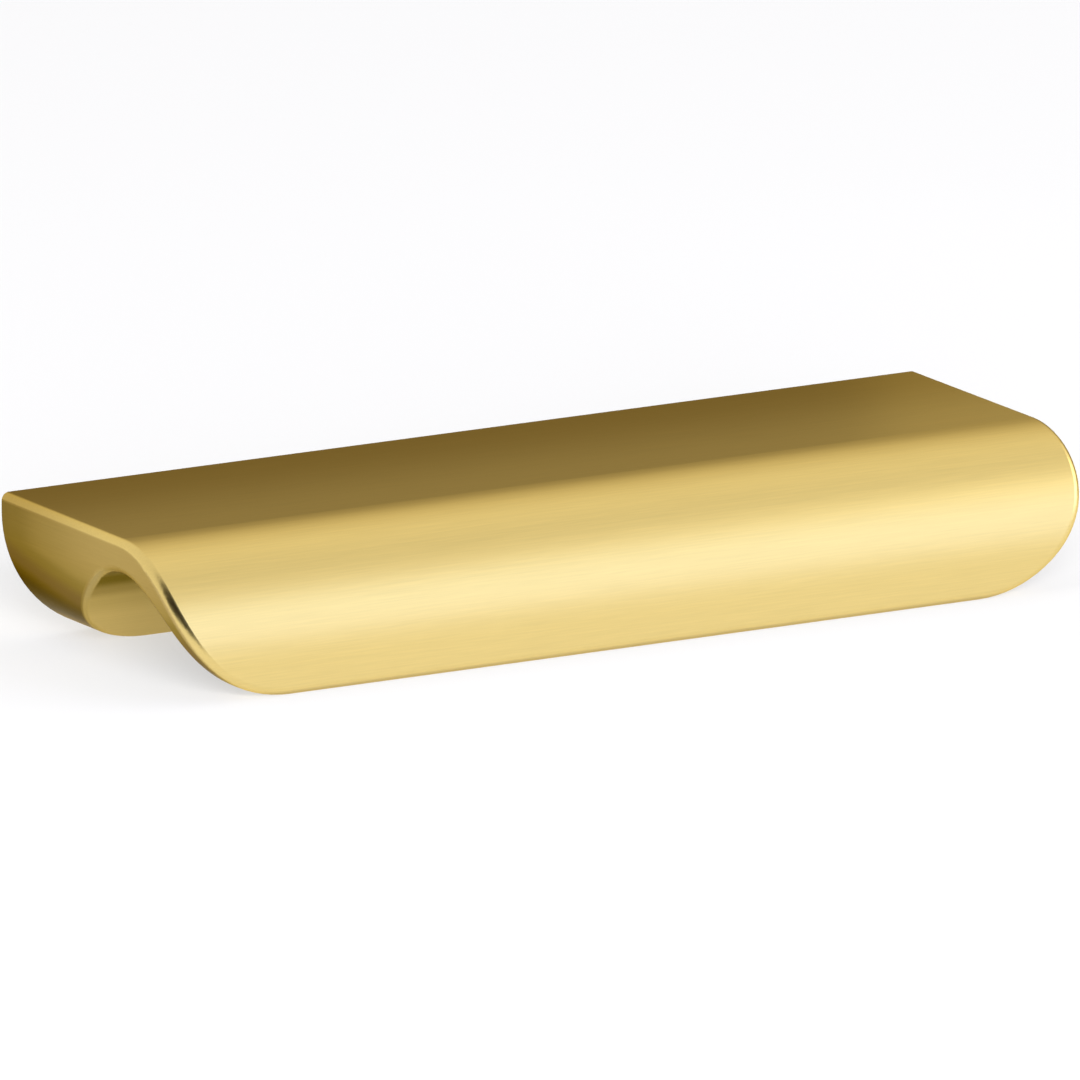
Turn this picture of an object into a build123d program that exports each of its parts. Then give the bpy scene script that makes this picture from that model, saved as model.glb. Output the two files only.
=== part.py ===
from build123d import *
import os

# Lip pull for a cabinet door or drawer: one solid metal bar with a finger channel scooped out below.
# Origin at the middle of the back face, halfway between the two screw holes.
# +X runs along the pull, the lip faces -Y, +Z is up and the back face lies on Y = 0. Millimetres.

# Overall size
length = 102.0
projection = 33.5
height = 14.5

# Outer form
end_corner_radius = 12.8
lip_outer_radius = 11.0
edge_round = 0.8

# Finger channel, open below and at both ends
roof_thickness = 3.4
lip_thickness = 2.6
channel_radius = 8.5
roof_run_past_crown = 34.0
foot_width = 5.4

# Tapped screw holes in the back face, bored to the outside of an M4 thread
hole_spacing = 76.0
thread_radius = 2.0
thread_depth = 8.0
mouth_chamfer = 0.4
mouth_angle = 90.0
drill_point_height = 1.0

# Levels and stations that follow from the sizes above
top = height / 2
bottom = -height / 2
lip_front = -projection
lip_inner = lip_front + lip_thickness
crown_y = lip_inner + channel_radius
channel_centre_z = top - roof_thickness - channel_radius

with BuildPart() as pull_body:
    # Section through the bar: flat top, rounded front lip, finger channel and the foot of the rear block
    with BuildSketch(Plane.YZ) as section:
        with BuildLine() as outline:
            roof = CenterArc(
                (crown_y, channel_centre_z),
                channel_radius,
                90 - roof_run_past_crown,
                90 + roof_run_past_crown,
            )
            # The rear wall leaves the roof without a kink and falls back to the foot
            rear_wall = TangentArc(roof @ 0, (-foot_width, bottom), tangent=-(roof % 0))
            foot_and_back = Polyline(
                (-foot_width, bottom),
                (0, bottom),
                (0, top),
                (lip_front + lip_outer_radius, top),
            )
            nose = RadiusArc(foot_and_back @ 1, (lip_front, top - lip_outer_radius), -lip_outer_radius)
            lip = Polyline(nose @ 1, (lip_front, bottom), (lip_inner, bottom), roof @ 1)
        make_face()
    extrude(amount=length / 2, both=True)

    # Seen from the front, both lower corners are cut to one large radius through the whole depth
    with BuildSketch(Plane.XZ) as front_outline:
        Rectangle(length, height)
        fillet(front_outline.vertices().group_by(Axis.Y)[0], end_corner_radius)
    extrude(amount=projection, mode=Mode.INTERSECT)

    # Every handled edge is softened, while the edges around the back face stay crisp against the cabinet
    end_curves = pull_body.edges().filter_by(GeomType.LINE, reverse=True)
    top_end_edges = pull_body.edges().filter_by(Axis.Y).group_by(Axis.Z)[-1]
    lower_edges = pull_body.edges().filter_by(Axis.X).group_by(Axis.Z)[0]
    back_edges = pull_body.faces().sort_by(Axis.Y)[-1].edges()
    fillet((end_curves + top_end_edges + lower_edges) - back_edges, edge_round)

    # Two blind tapped holes for the machine screws that come through the door or drawer front
    with Locations(-Plane.XZ):
        with GridLocations(hole_spacing, 0, 2, 1):
            CounterSinkHole(thread_radius, thread_radius + mouth_chamfer, thread_depth, mouth_angle)
            with Locations((0, 0, -thread_depth)):
                Cone(
                    0,
                    thread_radius,
                    drill_point_height,
                    align=(Align.CENTER, Align.CENTER, Align.MAX),
                    mode=Mode.SUBTRACT,
                )

pull_body.part.label = "pull_body"

os.makedirs("parts", exist_ok=True)
export_step(pull_body.part, "parts/pull_body.step")
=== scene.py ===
import math

import bpy
import numpy as np
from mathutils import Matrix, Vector


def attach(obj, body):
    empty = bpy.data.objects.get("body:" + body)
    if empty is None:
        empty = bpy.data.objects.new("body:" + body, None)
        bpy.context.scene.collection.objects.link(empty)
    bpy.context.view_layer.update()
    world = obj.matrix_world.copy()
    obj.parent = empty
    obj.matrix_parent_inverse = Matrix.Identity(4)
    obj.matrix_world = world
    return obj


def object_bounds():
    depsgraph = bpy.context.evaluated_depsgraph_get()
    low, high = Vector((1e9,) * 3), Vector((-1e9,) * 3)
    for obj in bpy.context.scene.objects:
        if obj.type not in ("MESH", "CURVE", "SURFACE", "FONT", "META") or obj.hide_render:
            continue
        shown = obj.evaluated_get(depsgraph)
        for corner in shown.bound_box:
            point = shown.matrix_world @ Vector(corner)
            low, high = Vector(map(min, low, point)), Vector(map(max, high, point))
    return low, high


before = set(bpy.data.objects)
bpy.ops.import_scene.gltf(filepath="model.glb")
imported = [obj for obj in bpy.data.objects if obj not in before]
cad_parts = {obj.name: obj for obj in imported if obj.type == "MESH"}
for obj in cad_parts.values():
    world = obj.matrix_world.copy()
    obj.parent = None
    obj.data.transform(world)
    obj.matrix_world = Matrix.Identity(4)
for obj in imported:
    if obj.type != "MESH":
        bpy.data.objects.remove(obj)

cad_low, cad_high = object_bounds()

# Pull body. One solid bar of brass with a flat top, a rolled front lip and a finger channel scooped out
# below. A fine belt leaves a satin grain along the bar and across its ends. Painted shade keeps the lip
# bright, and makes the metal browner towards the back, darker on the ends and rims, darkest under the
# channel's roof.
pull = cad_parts["pull_body"]


def empty_tree(holder):
    """The node tree of a material or a world, with nothing in it yet."""
    holder.use_nodes = True
    holder.node_tree.nodes.clear()
    return holder.node_tree


def wire(tree, kind, inputs, **settings):
    """A new node of that kind, each of its inputs set to a value or joined to another node's output."""
    made = tree.nodes.new("ShaderNode" + kind)
    for setting, value in settings.items():
        setattr(made, setting, value)
    for socket, value in inputs.items():
        if isinstance(value, bpy.types.NodeSocket):
            tree.links.new(value, made.inputs[socket])
        else:
            made.inputs[socket].default_value = value
    return made


def reckon(tree, operation, *terms):
    """The outcome of one operation on the terms, each a number or another node's output."""
    return wire(tree, "Math", dict(enumerate(terms)), operation=operation).outputs[0]


def step(tree, value, limits, rise="LINEAR"):
    """0 up to the first limit of the value and 1 past the second, with an even or a smooth rise."""
    inputs = {"Value": value, "From Min": limits[0], "From Max": limits[1]}
    return wire(tree, "MapRange", inputs, interpolation_type=rise).outputs[0]


def between(tree, share, first, second):
    """A number that goes from the first to the second as share goes from 0 to 1."""
    return wire(tree, "MapRange", {"Value": share, "To Min": first, "To Max": second}).outputs[0]


def blend(tree, share, first, second):
    """A colour that goes from the first to the second as share goes from 0 to 1."""
    return wire(tree, "Mix", {0: share, 6: first, 7: second}, data_type="RGBA").outputs[2]


def ramp(tree, share, stops):
    """A colour that eases from one stop (position, colour) to the next as share goes from 0 to 1."""
    made = wire(tree, "ValToRGB", {"Fac": share})
    made.color_ramp.interpolation = "EASE"
    elements = made.color_ramp.elements
    while len(elements) < len(stops):
        elements.new(1.0)
    for element, (position, colour) in zip(elements, stops):
        element.position = position
        element.color = (*colour, 1.0)
    return made.outputs["Color"]


satin_brass = bpy.data.materials.new("satin_brass_finish")
tree = empty_tree(satin_brass)
place = wire(tree, "TexCoord", {}).outputs
station = wire(tree, "SeparateXYZ", {"Vector": place["Object"]}).outputs
facing = wire(tree, "SeparateXYZ", {"Vector": place["Normal"]}).outputs
along = reckon(tree, "ABSOLUTE", facing["X"])
across = reckon(tree, "ABSOLUTE", facing["Y"])

# The ends and lower corners face along X or down, and neither front nor up as the rounded edges do.
# Towards the lip, where the end is narrow, more of each rounded edge goes with it
front = cad_low.y
lip_reach = (front + 0.009, front + 0.004)
lip_ease = 0.45
at_lip = step(tree, station["Y"], lip_reach)
across_end = reckon(tree, "MULTIPLY", across, between(tree, at_lip, 1.0, lip_ease))
end_turns = ((along, (0.3, 0.7)), (across_end, (0.35, 0.0)), (facing["Z"], (0.35, 0.0)))
end_share = 1.0
for turn, limits in end_turns:
    end_share = reckon(tree, "MULTIPLY", end_share, step(tree, turn, limits, "SMOOTHSTEP"))

# Belt lines: noise drawn out along X on the long faces, and along Y on the ends
grain_length = 0.007
grain_width = 0.00018
grain_tone = 0.09
grain_height = 0.000002
lines = []
for stretch in ((grain_length, grain_width, grain_width), (grain_width, grain_length, grain_width)):
    drawn_out = wire(tree, "VectorMath", {0: place["Object"], 1: stretch}, operation="DIVIDE").outputs[0]
    noise = {"Vector": drawn_out, "Scale": 1.0, "Detail": 3.0, "Roughness": 0.65}
    lines.append(wire(tree, "TexNoise", noise).outputs["Fac"])
grain = between(tree, end_share, *lines)

# Colour of the long faces: bright on the lip and near it, and browner towards the back edge, a painted
# shade
bright_brass = (0.83, 0.64, 0.24)
shaded_brown_brass = (0.55, 0.385, 0.115)
painted_back_depth = 0.022
painted_back_share = step(tree, station["Y"], (-painted_back_depth, 0.0))
tone = ramp(tree, painted_back_share, ((0.0, bright_brass), (1.0, shaded_brown_brass)))

# The rounded rims at the channel's ends, behind the lip, look down and to the front, and carry a darker
# painted shade
rim_shade_tone = (0.46, 0.355, 0.15, 1.0)
rim_turn = (-0.03, -0.15)
rim_start = (front + 0.003, front + 0.004)
front_down = reckon(tree, "MULTIPLY", across, facing["Z"])
on_rim = reckon(tree, "MULTIPLY", step(tree, front_down, rim_turn), step(tree, station["Y"], rim_start))
tone = blend(tree, on_rim, tone, rim_shade_tone)

# Painted shade in the channel, which looks down and not along X: darker than the long faces, and darker
# still from its foot up into its roof
channel_shade_tones = (
    (0.0, (0.63, 0.49, 0.205)),
    (0.5, (0.51, 0.395, 0.161)),
    (0.75, (0.32, 0.24, 0.093)),
    (1.0, (0.09, 0.062, 0.012)),
)
channel_turn = (-0.3, -0.6)
channel_heights = (-0.004, 0.0018)
end_weight = 2.0
under = reckon(tree, "MULTIPLY_ADD", along, end_weight, facing["Z"])
channel_shade_tone = ramp(tree, step(tree, station["Z"], channel_heights), channel_shade_tones)
tone = blend(tree, step(tree, under, channel_turn), tone, channel_shade_tone)

# Painted shade: the ends are darker than the long faces, and most of all low down at the back
end_shade, back_shade, low_shade = 0.36, 0.23, 0.38
low_heights = (0.003, -0.003)
back_power = 2.0
painted_end_tones = (
    (0.0, (1.0, 1.0, 1.0)),
    (end_shade, (0.60, 0.565, 0.55)),
    (0.45, (0.57, 0.55, 0.53)),
    (0.54, (0.46, 0.45, 0.43)),
    (0.68, (0.36, 0.33, 0.48)),
    (0.88, (0.085, 0.075, 0.035)),
)
far_back = reckon(tree, "POWER", painted_back_share, back_power)
low_down = step(tree, station["Z"], low_heights)
shade = reckon(tree, "MULTIPLY_ADD", far_back, back_shade, end_shade)
shade = reckon(tree, "MULTIPLY_ADD", low_down, low_shade, shade)
shade = reckon(tree, "MULTIPLY", end_share, shade)
painted_end_shade = ramp(tree, shade, painted_end_tones)
tone = wire(tree, "VectorMath", {0: tone, 1: painted_end_shade}, operation="MULTIPLY").outputs[0]

# Each belt line is a little lighter or darker than the next
line_level = between(tree, grain, 1 - grain_tone, 1 + grain_tone)
colour = wire(tree, "VectorMath", {0: tone, "Scale": line_level}, operation="SCALE").outputs[0]

# Gloss: the highlight spreads across the lines, around X on the long faces and around Y on the ends.
# The rounded edges of the lip are smoother, and the ends reflect less at a grazing angle, a painted shade
# on them
satin_roughness, smooth_roughness = 0.3, 0.276
smooth_along, smooth_across = (0.05, 0.25), (0.3, 0.5)
graze_tint = (1.0, 0.82, 0.42, 1.0)
end_shade_graze_tint = (0.60, 0.50, 0.31, 1.0)
line_spread = 0.6
around = [
    wire(tree, "Tangent", {}, direction_type="RADIAL", axis=axis).outputs[0]
    for axis in ("X", "Y")
]
spread = wire(tree, "Mix", {0: end_share, 4: around[0], 5: around[1]}, data_type="VECTOR").outputs[1]
smooth = reckon(tree, "MULTIPLY", step(tree, along, smooth_along), step(tree, across, smooth_across))
brass = wire(tree, "BsdfPrincipled", {
    "Base Color": colour,
    "Metallic": 1.0,
    "Roughness": between(tree, smooth, satin_roughness, smooth_roughness),
    "Anisotropic": line_spread,
    "Specular Tint": blend(tree, end_share, graze_tint, end_shade_graze_tint),
    "Tangent": spread,
    "Normal": wire(tree, "Bump", {"Height": grain, "Strength": 1.0, "Distance": grain_height}).outputs[0],
})
wire(tree, "OutputMaterial", {"Surface": brass.outputs[0]})
pull.material_slots[0].material = satin_brass

# Screw threads. Each of the two holes in the back is tapped for an M4 machine screw, in the bar's own
# brass. The tap leaves one right-handed ridge on the wall of the bore, fading in and out over half a turn.
hole_spacing = 0.076
thread_radius = 0.002
thread_pitch = 0.0007
thread_height = 0.54 * thread_pitch
foot_half_width = 7 / 16 * thread_pitch
crest_half_width = 1 / 8 * thread_pitch
thread_start = 0.0004
thread_turns = 10
steps_per_turn = 48
wall_bite = 0.00006


def thread_ridge(centre_x):
    """Points of a helical ridge inside a bore along Y: at turn angle t, four points across the ridge.

    They go wall, crest, crest, wall, a little apart along Y, at radius thread_radius - height * rise.
    The rise goes from 0 to 1 over half a turn at either end, and Y falls by one pitch each turn.
    """
    t = np.linspace(0, 2 * np.pi * thread_turns, thread_turns * steps_per_turn + 1)[:, None]
    rise = np.clip(np.minimum(t, t[-1] - t) / np.pi, 0, 1)
    depth_in = np.array([-wall_bite, thread_height, thread_height, -wall_bite])
    offset = np.array([foot_half_width, crest_half_width, -crest_half_width, -foot_half_width])
    radius = thread_radius - np.where(depth_in > 0, depth_in * rise, depth_in)
    y = -thread_start - thread_pitch * t / (2 * np.pi) + offset
    return np.stack([centre_x + radius * np.cos(t), y, radius * np.sin(t)], axis=-1)


def sheet_mesh(name, points):
    """A mesh of the grid of points, with one quad for each cell."""
    rows, columns = points.shape[:2]
    number = np.arange(rows * columns).reshape(rows, columns)
    cells = np.stack([number[:-1, :-1], number[:-1, 1:], number[1:, 1:], number[1:, :-1]], axis=-1)
    mesh = bpy.data.meshes.new(name)
    mesh.from_pydata(points.reshape(-1, 3).tolist(), [], cells.reshape(-1, 4).tolist())
    return mesh


cut_tones = ((0.3, (0.74, 0.55, 0.19)), (0.7, (0.84, 0.66, 0.27)))
chatter_marks = 6000.0
cut_brass = bpy.data.materials.new("cut_brass")
tree = empty_tree(cut_brass)
place = wire(tree, "TexCoord", {}).outputs
noise = {"Vector": place["Object"], "Scale": chatter_marks, "Detail": 2.0}
chatter = wire(tree, "TexNoise", noise).outputs["Fac"]
colour = ramp(tree, chatter, cut_tones)
brass = wire(tree, "BsdfPrincipled", {"Base Color": colour, "Metallic": 1.0, "Roughness": 0.25})
wire(tree, "OutputMaterial", {"Surface": brass.outputs[0]})

scene = bpy.context.scene
for side, name in ((-1, "left_screw_thread"), (1, "right_screw_thread")):
    mesh = sheet_mesh(name, thread_ridge(side * hole_spacing / 2))
    mesh.materials.append(cut_brass)
    thread = bpy.data.objects.new(name, mesh)
    scene.collection.objects.link(thread)
    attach(thread, "root")

# Floor. A matt pale tabletop that the pull stands on, wide enough to fill every view.
# What the eye and the brass see of it is lifted to white, and the soft shadow stays.
floor_reach = 6.0
floor_tone = (0.34, 0.34, 0.35, 1.0)
floor_lift = 0.56
x, y = np.meshgrid([-floor_reach, floor_reach], [-floor_reach, floor_reach])
floor_mesh = sheet_mesh("floor", np.stack([x, y, np.full_like(x, cad_low.z)], axis=-1))
tabletop = bpy.data.materials.new("white_tabletop")
tree = empty_tree(tabletop)
matt = wire(tree, "BsdfDiffuse", {"Color": floor_tone}).outputs[0]
ray = wire(tree, "LightPath", {}).outputs
mirrored = reckon(tree, "MAXIMUM", ray["Is Glossy Ray"], ray["Is Transmission Ray"])
seen = reckon(tree, "MAXIMUM", ray["Is Camera Ray"], mirrored)
glow = wire(tree, "Emission", {"Strength": reckon(tree, "MULTIPLY", seen, floor_lift)}).outputs[0]
both = wire(tree, "AddShader", {0: matt, 1: glow}).outputs[0]
wire(tree, "OutputMaterial", {"Surface": both})
floor_mesh.materials.append(tabletop)
floor = bpy.data.objects.new("floor", floor_mesh)
scene.collection.objects.link(floor)

# Studio. To the right stands a light tunnel along the pull: dark low behind it, even overhead and brightest
# low in front. To the left is a pale wall, which leaves a dark gap in front of the pull. A white band runs
# along the foot of both, but not across the gap.
tunnel_tones = (
    (0.00, (0.05, 0.04, 0.02)),
    (0.10, (0.09, 0.068, 0.032)),
    (0.16, (0.33, 0.29, 0.22)),
    (0.25, (0.74, 0.69, 0.60)),
    (0.39, (0.97, 0.94, 0.88)),
    (0.56, (0.78, 0.77, 0.74)),
    (0.65, (0.88, 0.85, 0.80)),
    (0.79, (1.32, 1.46, 2.05)),
    (0.92, (1.32, 1.42, 2.00)),
    (1.00, (1.05, 1.05, 1.10)),
)
wall_tone = (0.89, 0.865, 0.81, 1.0)
gap_tone = (0.006, 0.005, 0.003, 1.0)
band_tone = (1.0, 1.0, 1.0, 1.0)
gap_edge = (-0.12, -0.36)
tunnel_edge = (0.18, 0.4)
band_edge = (0.03, 0.01)
studio = bpy.data.worlds.new("light_tunnel")
tree = empty_tree(studio)
towards = wire(tree, "TexCoord", {}).outputs["Generated"]
heading = wire(tree, "SeparateXYZ", {"Vector": towards}).outputs
sweep = reckon(tree, "ARCTAN2", heading["Z"], heading["Y"])
tunnel = ramp(tree, reckon(tree, "DIVIDE", sweep, math.pi), tunnel_tones)
in_gap = step(tree, heading["Y"], gap_edge, "SMOOTHSTEP")
in_tunnel = step(tree, heading["X"], tunnel_edge, "SMOOTHSTEP")
in_band = step(tree, heading["Z"], band_edge, "SMOOTHSTEP")
left_side = blend(tree, in_gap, blend(tree, in_band, wall_tone, band_tone), gap_tone)
right_side = blend(tree, in_band, tunnel, band_tone)
light = blend(tree, in_tunnel, left_side, right_side)
air = wire(tree, "Background", {"Color": light, "Strength": 1.0}).outputs[0]
wire(tree, "OutputWorld", {"Surface": air})
scene.world = studio

# Lamps. Three square panels, each turned to the pull: a soft one to the right, a large one low in front and
# a little to the left, and a small dim one low behind the right end, for a faint glow on that end of the
# top. The large one throws the shadow back over the floor, and the brass doesn't mirror it.
lamps = (
    ("side_lamp", (0.72, -0.27, 0.47), 0.5, 1.2, True),
    ("front_lamp", (-0.72, -1.783, 0.551), 1.0, 98.0, False),
    ("glow_lamp", (0.129, 0.111, 0.042), 0.03, 0.0008, True),
)
for name, stand, size, power, in_brass in lamps:
    panel = bpy.data.lights.new(name, "AREA")
    panel.size = size
    panel.energy = power
    lamp = bpy.data.objects.new(name, panel)
    scene.collection.objects.link(lamp)
    lamp.location = stand
    lamp.rotation_mode = "QUATERNION"
    lamp.rotation_quaternion = (-Vector(stand)).to_track_quat("-Z", "Y")
    lamp.visible_camera = False
    lamp.visible_glossy = in_brass

# Camera. A long lens from the front left and a little above, with the pull filling the frame from end to
# end. The aim lies about a millimetre to the left of the pull's middle.
azimuth, elevation = math.radians(-30.29), math.radians(13.38)
camera_distance = 3.643
frame_width = 0.10358
aim_right, aim_up = -0.00102, -0.00009
back = Vector((
    math.sin(azimuth) * math.cos(elevation),
    -math.cos(azimuth) * math.cos(elevation),
    math.sin(elevation),
))
right = Vector((math.cos(azimuth), math.sin(azimuth), 0.0))
target = (cad_low + cad_high) / 2 + aim_right * right + aim_up * back.cross(right)
lens = bpy.data.cameras.new("camera")
lens.lens = lens.sensor_width * camera_distance / frame_width
lens.clip_end = 20.0
camera = bpy.data.objects.new("camera", lens)
scene.collection.objects.link(camera)
camera.location = target + camera_distance * back
camera.rotation_mode = "QUATERNION"
camera.rotation_quaternion = (-back).to_track_quat("-Z", "Y")
scene.camera = camera

scene.view_settings.view_transform = "Standard"
